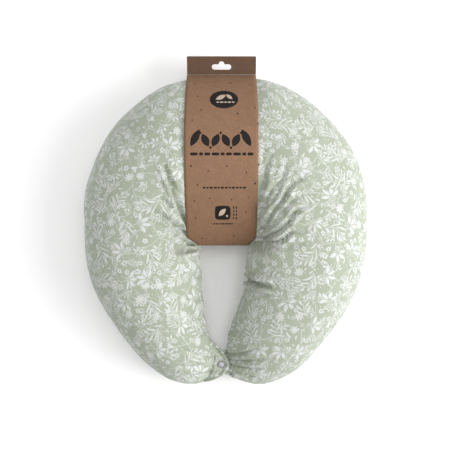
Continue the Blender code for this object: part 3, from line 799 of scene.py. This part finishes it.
def press_folds(mesh):
    """Sinks the creases into the cover's upper side, with the cloth puffed up beside them."""
    co, normal = coordinates(mesh), coordinates(mesh, "normal")
    push = np.zeros(len(co))
    for depth, width, line in FOLDS:
        path = catmull(np.array(line) * MM, np.linspace(0, len(line) - 1, 8 * len(line)))
        reach = 4 * width * MM
        low, high = path.min(0) - reach, path.max(0) + reach
        near = np.all((co[:, :2] > low) & (co[:, :2] < high), axis=1) & (normal[:, 2] > -0.2)
        gap, along = distance_to(path, co[near, :2])
        gap = gap / (width * MM)
        taper = np.sqrt(4 * along * (1 - along))
        shape = (0.5 * np.exp(-gap ** 2) + 0.5 * np.exp(-(gap / 0.45) ** 2)
                 - 0.45 * np.exp(-((gap - 2) / 0.9) ** 2))
        push[near] -= depth * MM * shape * taper * fade(normal[near, 2], -0.2, 0.25)
    set_coordinates(mesh, tucked(co + normal * push[:, None]))


def tucked(co):
    """Vertex places with the cloth that the card covers kept under it."""
    beside = np.abs(co[:, 0] - CARD_X) - CARD_HALF
    under_card = (beside < 1 * MM) & (co[:, 1] > FOLD_Y) & (co[:, 2] > CARD_Z)
    limit = card_over(co[:, 1]) - 0.7 * MM
    co[under_card, 2] = np.minimum(co[under_card, 2], limit[under_card])
    return co


def flat_places(co):
    """1 on the cloth that the zip and the label are sewn to, 0 away from it."""
    x, y = co[:, 0] - ARC_CENTRE[0], co[:, 1] - ARC_CENTRE[1]
    turn = np.degrees(np.arctan2(x, y))
    along_zip = fade(turn, 8, 16) * fade(-turn, -92, -84)
    zip_band = along_zip * fade(ZIP_REACH - np.abs(co[:, 2] - ZIP_Z), 0, ZIP_FADE)
    low, high = (np.array(corner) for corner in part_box("care_label"))
    outside = np.maximum(np.maximum(low - co, co - high), 0)
    label_patch = fade(LABEL_REACH - np.linalg.norm(outside, axis=1), 0, LABEL_FADE)
    return np.maximum(zip_band, label_patch)


def settle(ring):
    """Blows the cover up over its filling as cloth, a little too large along its inner side, so
    that it puckers there. The floor, the card, the zip, the label and the tips hold it."""
    start = coordinates(ring.data)
    from_inner = read_attribute(ring.data, "from_inner_seam")
    station = read_attribute(ring.data, "station")
    near_card = fade(CARD_HALF + 12 * MM - np.abs(start[:, 0] - CARD_X), 0, 12 * MM)
    near_card *= fade(start[:, 1] - FOLD_Y, -10 * MM, 0)
    held = np.maximum.reduce([near_card, flat_places(start), fade(4 * MM - start[:, 2], 0, 3 * MM),
                              fade(np.abs(station), TIP - 1, TIP - 0.4)])
    growth = fade(0.55 - from_inner, 0, 0.45)
    for name, weights in (("held", held), ("growth", growth)):
        group = ring.vertex_groups.new(name=name)
        for index, weight in enumerate(weights):
            group.add([index], float(weight), "REPLACE")
    cloth = ring.modifiers.new("cloth", "CLOTH")
    rules = dict(quality=6, mass=0.2, tension_stiffness=18, compression_stiffness=18,
                 shear_stiffness=6, bending_stiffness=0.15, use_pressure=True,
                 uniform_pressure_force=PRESSURE, vertex_group_mass="held",
                 vertex_group_shrink="growth", shrink_min=0, shrink_max=-GROWTH)
    for name, value in rules.items():
        setattr(cloth.settings, name, value)
    cloth.settings.effector_weights.gravity = 0
    cloth.collision_settings.use_collision = False
    for number in range(1, FRAMES + 1):
        bpy.context.scene.frame_set(number)
    graph = bpy.context.evaluated_depsgraph_get()
    settled = coordinates(ring.evaluated_get(graph).data)
    bpy.context.scene.frame_set(1)
    ring.modifiers.clear()
    ring.vertex_groups.clear()
    move = settled - start
    size = np.linalg.norm(move, axis=1, keepdims=True)
    move *= np.minimum(1, MOST_MOVE / np.maximum(size, 1e-9)) * (1 - held)[:, None]
    moved = start + move
    moved[:, 2] = np.clip(moved[:, 2], 0, CAD_BOX[1][2] + 3 * MM)
    set_coordinates(ring.data, tucked(moved))


def rumple(mesh):
    """Slight hollows and puffs of the filling, and small puckers along the two seams."""
    co, normal = coordinates(mesh), coordinates(mesh, "normal")
    from_inner = read_attribute(mesh, "from_inner_seam")
    wide = np.array([noise.noise(Vector(p) / PUFF_SIZE) for p in co])
    close = np.array([noise.noise(Vector(p) / PUCKER_SIZE) for p in co])
    seam = np.minimum(from_inner, 1 - from_inner)
    inner = fade(0.2 - from_inner, 0, 0.18)
    free = fade(np.abs(co[:, 0] - CARD_X), CARD_HALF, CARD_HALF + 20 * MM)
    free = np.maximum(free, fade(FOLD_Y - co[:, 1], 0, 15 * MM))
    amount = (wide * PUFF + close * (PUCKER + INNER_PUCKER * inner)) * free
    pinch = SEAM_PINCH * np.exp(-(seam / SEAM_SHARE) ** 2)
    above_floor = fade(co[:, 2], 1 * MM, 12 * MM)
    sewn = flat_places(co)
    move = (amount * above_floor - pinch) * (1 - sewn) - SEWN_DEPTH * sewn
    set_coordinates(mesh, tucked(co + normal * move[:, None]))


def half_of(ring, name, side):
    """The left (-1) or the right (1) half of the ring as its own piece."""
    half = linked(name, ring.data.copy())
    half.data.name = name
    work = bmesh.new()
    work.from_mesh(half.data)
    layer = work.verts.layers.float["station"]
    gone = [v for v in work.verts if side * v[layer] < -0.001]
    bmesh.ops.delete(work, geom=gone, context="VERTS")
    work.to_mesh(half.data)
    work.free()
    return half


def make_cover():
    """The stuffed cover's left and right halves, which meet at the middle of the back."""
    ring = ring_mesh()
    settle(ring)
    subdivide(ring, 2)
    rumple(ring.data)
    press_folds(ring.data)
    ring.data.materials.append(COVER_MATERIAL)
    ring.data.shade_smooth()
    halves = [half_of(ring, "cover_left", -1), half_of(ring, "cover_right", 1)]
    bpy.data.objects.remove(ring)
    return halves


# ---------------- the sleeve

def sleeve_profile(under, count):
    """Points (y, z) along the sleeve's panel, from the crease to the inner fold."""
    y = CARD_TOP_Y + np.concatenate([
        (CREASE_Y - CARD_TOP_Y) * np.sin(np.linspace(CREASE_TURN, 0, 90)),
        (FOLD_Y - CARD_TOP_Y) * np.sin(np.linspace(0, math.pi / 2, 90))[1:]])
    z = card_under(y) if under else card_over(y)
    return resampled(np.column_stack([y, z]), y * 0, count)[:, :2]


def sleeve_edges(y):
    """The sleeve's middle and half its width, which narrows towards the inner fold."""
    share = fade(y, WAIST_Y, FOLD_Y)
    middle = CARD_X + (WAIST_X - CARD_X) * share
    return middle, CARD_HALF + (WAIST_HALF - CARD_HALF) * share ** 1.5


def make_sleeve_panel(name, under, finish):
    """The card over or under the ring."""
    points = []
    for y, z in sleeve_profile(under, SLEEVE_ROWS):
        middle, half = sleeve_edges(y)
        points += [(middle + half * x, y, z + CARD if under else z)
                   for x in np.linspace(-1, 1, SLEEVE_CELLS + 1)]
    faces = grid_faces(SLEEVE_ROWS + 1, SLEEVE_CELLS + 1)
    if not under:
        faces = [face[::-1] for face in faces]
    return thickened(mesh_object(name, points, faces, finish), CARD, 0)


# ---------------- the tongues at the tips

def tongue_top(level, puff, arm, x, y, w, inward):
    """How high a tongue's upper side is over its level, w of the way from its root to its rim."""
    from_stud = math.hypot(x - STUD[0] * MM, y - STUD[1] * MM)
    turn = math.atan2(y - STUD[1] * MM, x - STUD[0] * MM)
    rise = fade(from_stud, 7.3 * MM, 12.5 * MM)
    gathers = 0.8 * MM * math.sin(9 * turn + 1.0) * fade(from_stud, 9 * MM, 15 * MM)
    hem_line = 3.4 * MM * math.exp(-((inward - 8 * MM) / (2.4 * MM)) ** 2)
    top = TAB / 2 + (puff + gathers - hem_line) * rise
    if not arm:
        return top
    top -= 16 * MM * (1 - fade(w, 0.0, 0.42))
    below = arm.ray_cast(Vector((x, y, 2 * RIDGE)), Vector((0, 0, -1)))[0]
    if below:
        sunk = 0.9 * MM * (1 - fade(w, 0, 0.12))
        top = float(greater(top, below.z + 0.15 * MM - sunk - level, 0.4 * MM))
    return top


def make_tongue(name, rim, level, puff, arm):
    """A stuffed tongue: a flat disc about the stud, puffed round it, with a hemmed rim. It
    grows out of an arm's surface if one is given."""
    rows, cells = 30, 64
    across = np.linspace(0, 1, cells + 1)
    edge = catmull(np.array(rim) * MM, across * (len(rim) - 1))
    root = edge[0] + (edge[-1] - edge[0]) * across[:, None]
    upper, lower, plans = [], [], []
    for w in np.sin(np.linspace(0, math.pi / 2, rows + 1)):
        for k in range(cells + 1):
            x, y = root[k] + (edge[k] - root[k]) * w
            inward = (1 - w) * np.linalg.norm(edge[k] - root[k])
            top = tongue_top(level, puff, arm, x, y, w, inward)
            roll = math.sqrt(max(1 - (1 - min(inward / (3 * MM), 1)) ** 2, 0))
            upper.append((x, y, level + top * roll))
            lower.append((x, y, level - TAB / 2 * roll))
            plans.append((x, y))
    count = len(upper)
    faces = []
    for quad in grid_faces(rows + 1, cells + 1):
        faces += [quad, tuple(count + i for i in quad[::-1])]
    faces += [(k + 1, k, count + k, count + k + 1) for k in range(cells)]
    tongue = mesh_object(name, upper + lower, faces, COVER_MATERIAL)
    layer = tongue.data.uv_layers.new(name="print")
    for loop in tongue.data.loops:
        layer.data[loop.index].uv = plans[loop.vertex_index % count]
    weld = tongue.modifiers.new("weld", "WELD")
    weld.merge_threshold = 0.02 * MM
    applied(tongue)
    work = bmesh.new()
    work.from_mesh(tongue.data)
    bmesh.ops.recalc_face_normals(work, faces=work.faces)
    work.to_mesh(tongue.data)
    work.free()
    tongue.data.shade_smooth()
    return tongue


# ---------------- the print on the card

def ring_of(count):
    """The cosine and the sine of evenly spaced angles."""
    return [(math.cos(TAU * k / count), math.sin(TAU * k / count)) for k in range(count)]


def oval(wide, high, count=40):
    return [(wide / 2 * cos, high / 2 * sin) for cos, sin in ring_of(count)]


def tile(wide, high):
    """A rectangle with round corners."""
    power, count = 5, 32
    out = []
    for cos, sin in ring_of(count):
        size = (abs(cos) ** power + abs(sin) ** power) ** (-1 / power)
        out.append((wide / 2 * cos * size, high / 2 * sin * size))
    return out


def star(size):
    """A star with five arms."""
    return [(size / 2 * (1, 0.45)[k % 2] * sin, size / 2 * (1, 0.45)[k % 2] * cos)
            for k, (cos, sin) in enumerate(ring_of(10))]


def leaf_shape(long, wide, turn):
    """A pointed leaf, turned by an angle."""
    out = []
    for cos, sin in ring_of(24):
        x, y = long / 2 * cos, wide / 2 * sin * abs(sin)
        out.append((x * math.cos(turn) - y * math.sin(turn), x * math.sin(turn) + y * math.cos(turn)))
    return out


class Print:
    """Flat shapes of ink that lie on the card."""

    def __init__(self, lift):
        self.lift, self.points, self.faces = lift, [], []

    def add(self, outline, x, y, rings=4):
        """A filled outline about a place, cut into rings so that it bends with the card."""
        first, count = len(self.points), len(outline)
        for share in [ring / rings for ring in range(rings, 0, -1)]:
            for dx, dy in outline:
                self.place(x + dx * share, y + dy * share)
        self.place(x, y)
        self.faces += [tuple(first + i for i in quad) for quad in grid_faces(rings, count, True)]
        last = first + (rings - 1) * count
        self.faces += [(last + k, last + (k + 1) % count, last + count) for k in range(count)]

    def place(self, x, y):
        height = float(card_over(np.array([y * MM]))[0]) + CARD / 2 + self.lift
        self.points.append((x * MM, y * MM, height))

    def dashes(self, place, y, count, widths, high, space, rings):
        """A row of dashes from a place on, with widths that repeat."""
        for k in range(count):
            wide = widths[k % len(widths)]
            self.add(tile(wide, high), place + wide / 2, y, rings)
            place += wide + space

    def made(self, name, finish):
        return thickened(mesh_object(name, self.points, self.faces, finish), INK, 1)


def make_print():
    """An oval badge, a row of leaves, rows of dashes, a small badge and scattered stars."""
    dark, light = Print(0.02 * MM), Print(0.02 * MM + INK)
    dark.add(oval(47, 34), -2.5, 204, 8)
    light.add(leaf_shape(19, 8, 0.5), -8, 208)
    light.add(leaf_shape(14, 6, 2.4), 6, 209)
    for k in range(5):
        light.add(tile(4 + k % 2 * 2, 2.4), -13 + 6.4 * k, 198.5)
    for k in range(6):
        tall = k in (0, 5)
        dark.add(leaf_shape(31 if tall else 23, 12, math.radians((62, 118)[k % 2])),
                 -49 + 16.5 * k, 137 if tall else 133, 5)
        if k < 5:
            dark.add(oval(4, 4), -40.8 + 16.5 * k, 145 - k % 2 * 24, 2)
    dark.dashes(-57, 111, 9, (12, 6, 9), 4.6, 2.6, 2)
    dark.dashes(-37, 57.5, 12, (4.6, 3.2, 5.4), 2.8, 1.6, 2)
    dark.add(tile(26, 23), -4.6, 16.9, 6)
    light.add(leaf_shape(17, 8, 0.8), -5.6, 17.5)
    light.add(oval(3.6, 3.6), 2.4, 11.5, 2)
    for column in (0, 1):
        for k in range(4):
            dark.add(tile(1.8, 3.4 + k % 2), 13.6 + 4.4 * column, 8 + 5.8 * k, 1)
    for k in range(7):
        dark.add(tile(3.4 + k % 2, 2.2), -19.6 + 5 * k, -1.4, 1)
    for k, (x, y) in enumerate(SPECKS):
        dark.add(star(3.4 + k % 3 * 0.6) if k % 2 else oval(2.3, 2.3, 12), x, y, 1)
    return dark.made("card_print_dark", INK_MATERIAL), light.made("card_print_pale", PALE_MATERIAL)


# ---------------- press stud, zip and label

def turned(name, profile, middle, base, finish):
    """A round piece about a vertical axis, from its outline of (radius, height)."""
    segments = 96
    rows = catmull(np.array(profile), np.linspace(0, len(profile) - 1, 4 * len(profile)))[1:-1]
    points = [(middle[0] + radius * cos, middle[1] + radius * sin, base + height)
              for radius, height in rows for cos, sin in ring_of(segments)]
    faces = [face[::-1] for face in grid_faces(len(rows), segments, True)]
    faces.append(tuple(range(segments)))
    faces.append(tuple(range(len(points) - segments, len(points)))[::-1])
    return mesh_object(name, points, faces, finish)


def make_cap(finish):
    """The visible cap: a shallow dome with a turned groove and a rolled rim."""
    tall = CAP_HIGH[2] - CAP_LOW[2]
    shape = ((0.0, 1.0), (0.3, 0.99), (0.55, 0.93), (0.64, 0.84), (0.68, 0.74), (0.73, 0.80),
             (0.84, 0.74), (0.95, 0.52), (1.0, 0.28), (0.98, 0.06), (0.9, 0.0), (0.0, 0.0))
    middle = ((CAP_LOW[0] + CAP_HIGH[0]) / 2, (CAP_LOW[1] + CAP_HIGH[1]) / 2)
    profile = [(r * CAP_RADIUS, h * tall) for r, h in shape]
    return turned("press_cap", profile, middle, CAP_LOW[2], finish)


def band_of(node):
    """Where a CAD piece of the zip runs: its first and last angle, its radius and its height."""
    co = coordinates(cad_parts[node].data)
    x, y = co[:, 0] - ARC_CENTRE[0], co[:, 1] - ARC_CENTRE[1]
    turn = np.arctan2(x, y)
    return turn.min(), turn.max(), np.hypot(x, y).mean(), co[:, 2].mean()


def on_arc(turn, radius, z):
    return (ARC_CENTRE[0] + radius * math.sin(turn), ARC_CENTRE[1] + radius * math.cos(turn), z)


def wire(name, runs, thick, finish):
    """Round threads along lists of points, as one mesh."""
    data = bpy.data.curves.new(name, "CURVE")
    data.dimensions = "3D"
    data.bevel_depth = thick / 2
    data.bevel_resolution = 1
    data.use_fill_caps = True
    for run in runs:
        spline = data.splines.new("POLY")
        spline.points.add(len(run) - 1)
        for point, place in zip(spline.points, run):
            point.co = (*place, 1)
    curve = linked(name + "_path", data)
    graph = bpy.context.evaluated_depsgraph_get()
    mesh = bpy.data.meshes.new_from_object(curve.evaluated_get(graph))
    bpy.data.objects.remove(curve)
    mesh.materials.clear()
    mesh.materials.append(finish)
    mesh.shade_smooth()
    return linked(name, mesh)


def make_coil(node, name, finish):
    """Half of the zip: one nylon thread wound into small teeth."""
    first, last, radius, z = band_of(node)
    steps_a_turn = 10
    steps = steps_a_turn * round((last - first) * radius / TOOTH)
    run = []
    for k in range(steps + 1):
        wound = TAU * k / steps_a_turn
        run.append(on_arc(first + (last - first) * k / steps, radius + COIL_OUT * math.cos(wound),
                          z + COIL_UP * math.sin(wound)))
    return wire(name, [run], COIL_THREAD, finish)


def make_zip_stitches(finish):
    """A row of stitches along the middle of each tape."""
    low, high = 0.1 * MM, 0.42 * MM
    runs = []
    for node in ("zip_tape_upper", "zip_tape_lower"):
        first, last, radius, z = band_of(node)
        count = int((last - first) * radius / STITCH)
        half = STITCH * 0.32 / radius
        steps = ((-half, low), (-half * 0.6, high), (half * 0.6, high), (half, low))
        for k in range(1, count):
            turn = first + (last - first) * k / count
            runs.append([on_arc(turn + along, radius + out, z) for along, out in steps])
    return wire("zip_stitches", runs, THREAD, finish)


def make_label_stitches(finish):
    """Stitches round the edge of the care label, which lies flat on the cover."""
    co = coordinates(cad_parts["care_label"].data)
    middle = co.mean(0)
    axes = np.linalg.svd(co - middle)[2]
    long, wide, normal = axes
    if normal[0] > 0:
        normal = -normal
    half_long, half_wide, half_thick = (np.abs((co - middle) @ way).max() for way in axes)
    over = normal * (half_thick + 0.12 * MM)
    runs = []
    for along, aside, reach, fixed in ((long, wide, half_long, half_wide),
                                       (wide, long, half_wide, half_long)):
        count = int(2 * (reach - EDGE) / (STITCH * 0.7))
        step = along * STITCH * 0.24
        for side in (-1, 1):
            for k in range(count):
                share = (k + 0.5) / count * 2 - 1
                start = middle + along * share * (reach - EDGE) + aside * side * (fixed - EDGE)
                runs.append([tuple(start + step * d + over * h)
                             for d, h in ((-1, 0.6), (0, 1), (1, 0.6))])
    return wire("label_stitches", runs, THREAD * 0.8, finish)


# ---------------- floor, light, camera

AIM = Vector((0, 0, 0.05))
CAMERA_PLACE, CAMERA_LENS = (-0.0009, -0.0035, 1.10), 47.1


def make_stage():
    """A pale floor just under the pillow."""
    floor = mesh_object("floor", [(-6, -6, 0), (6, -6, 0), (6, 6, 0), (-6, 6, 0)], [(0, 1, 2, 3)])
    floor.location.z = -0.2 * MM
    finish, tree, _ = new_material("pale_floor")
    shade(tree, (0.92, 0.92, 0.92), Roughness=0.9, Emission_Color=(1, 1, 1),
          Emission_Strength=0.08)
    floor.data.materials.append(finish)


def make_light(name, place, size, power):
    """A square lamp that faces the pillow."""
    data = bpy.data.lights.new(name, "AREA")
    data.energy = power
    data.size = size
    lamp = linked(name, data)
    lamp.location = place
    lamp.rotation_euler = (AIM - Vector(place)).to_track_quat("-Z", "Y").to_euler()


def make_studio():
    """The floor, three soft lamps, a world that is brighter to the right, and the camera."""
    make_stage()
    make_light("key", (1.5, -0.2, 1.2), 1.1, 28.5)
    make_light("overhead", (0.15, 0.35, 2.2), 1.2, 15)
    make_light("fill", (-1.5, 0.1, 1.0), 1.2, 6)
    world = bpy.data.worlds.new("studio")
    bpy.context.scene.world = world
    world.use_nodes = True
    tree = world.node_tree
    side, _, _ = split(tree, add_node(tree, "ShaderNodeTexCoord").outputs["Generated"])
    background = tree.nodes["Background"]
    feed(tree, background.inputs["Color"], (1, 1, 1))
    feed(tree, background.inputs["Strength"], side * 0.38 + 0.50)
    bpy.context.scene.view_settings.view_transform = "Standard"
    data = bpy.data.cameras.new("camera")
    data.sensor_width = 36
    data.lens = CAMERA_LENS
    data.clip_start = 0.01
    camera = linked("camera", data)
    camera.location = CAMERA_PLACE
    bpy.context.scene.camera = camera


# ---------------- assembly

make_studio()
COVER_MATERIAL = cover_cloth()
INK_MATERIAL = printing_ink("ink_black", (0.012, 0.010, 0.009))
PALE_MATERIAL = printing_ink("ink_pale", (0.42, 0.33, 0.25))
CARD_MATERIAL = kraft_card("kraft_card", (0.238, 0.133, 0.078))
HEADER_MATERIAL = kraft_card("kraft_header", (0.108, 0.060, 0.036))
cover_left, cover_right = make_cover()
for cover, side, word in ((cover_left, -1, "left"), (cover_right, 1, "right")):
    start = Vector((side * BEND_START[0], *BEND_START[1:])) * MM
    way = Vector((side * math.sin(BEND_TURN), -math.cos(BEND_TURN), 0))
    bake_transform(cover, "back", word + "_arm", start=start, end=start + way * BEND_LENGTH)
    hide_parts("filling_" + word + "_bend", "filling_" + word + "_arm")
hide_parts("cover_bottom_panel", "liner_bottom_panel")
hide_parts("cover_top_panel", "liner_top_panel", "filling_back")
for name, under, node in (("card_front", False, "sleeve_front_panel"),
                          ("card_back", True, "sleeve_back_panel")):
    panel = make_sleeve_panel(name, under, CARD_MATERIAL)
    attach(panel, "back")
    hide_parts(node)
for layer in make_print():
    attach(layer, "back")

arm_faces = [tuple(face.vertices) for face in cover_left.data.polygons]
left_arm = BVHTree.FromPolygons(coordinates(cover_left.data).tolist(), arm_faces)
upper_tongue = make_tongue("upper_tongue", UPPER_RIM, UPPER_LEVEL, UPPER_PUFF, left_arm)
outward = Vector((math.cos(TAB_TURN), -math.sin(TAB_TURN), 0))
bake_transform(upper_tongue, "left_arm", "snap_tab", start=HINGE - outward * HINGE_BEFORE,
         end=HINGE + outward * HINGE_AFTER)
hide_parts("left_tab")
lower_tongue = make_tongue("lower_tongue", LOWER_RIM, LOWER_LEVEL, LOWER_PUFF, None)
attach(lower_tongue, "right_arm")
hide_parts("right_tab")

CAP_LOW, CAP_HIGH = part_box("snap_cap")
CAP_RADIUS = (CAP_HIGH[0] - CAP_LOW[0]) / 2
NICKEL = worn_metal("nickel", (0.62, 0.61, 0.58), 0.34, 0.3 * MM)
# The cap's dark outer ring is painted shade, for the shadow in the recess round the cap
CAP_METAL = worn_metal("nickel_cap", (0.56, 0.54, 0.56), 0.6, 0.3 * MM, rim=0.8 * CAP_RADIUS)
ZIP_METAL = worn_metal("zip_metal", (0.56, 0.56, 0.55), 0.4, 0.25 * MM)
TAPE = woven("zip_tape_cloth", (0.40, 0.45, 0.35), 0.7 * MM, ribs=True)
COIL = moulded("zip_coil_nylon", (0.50, 0.55, 0.45))
LABEL = woven("label_satin", (0.74, 0.74, 0.72), 0.35 * MM, 0.06)
SEWING = woven("sewing_thread", (0.55, 0.58, 0.50), 0.25 * MM)
cap = make_cap(CAP_METAL)
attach(cap, "snap_tab")
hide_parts("snap_cap")
for half in ("upper", "lower"):
    teeth = make_coil("zip_coil_" + half, "zip_teeth_" + half, COIL)
    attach(teeth, "back")
    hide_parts("zip_coil_" + half)
for stitches, slot in ((make_zip_stitches(SEWING), "zip_tape"),
                       (make_label_stitches(SEWING), "label")):
    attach(stitches, "back")

FINISHES = {"hang_header": HEADER_MATERIAL, "snap_socket": NICKEL, "snap_stud": NICKEL,
            "snap_post": NICKEL, "zip_tape_upper": TAPE, "zip_tape_lower": TAPE,
            "zip_bottom_stop": ZIP_METAL, "zip_top_stop": ZIP_METAL, "zip_slider": ZIP_METAL,
            "zip_pull": ZIP_METAL, "care_label": LABEL}
for name, finish in FINISHES.items():
    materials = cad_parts[name].data.materials
    materials.clear()
    materials.append(finish)
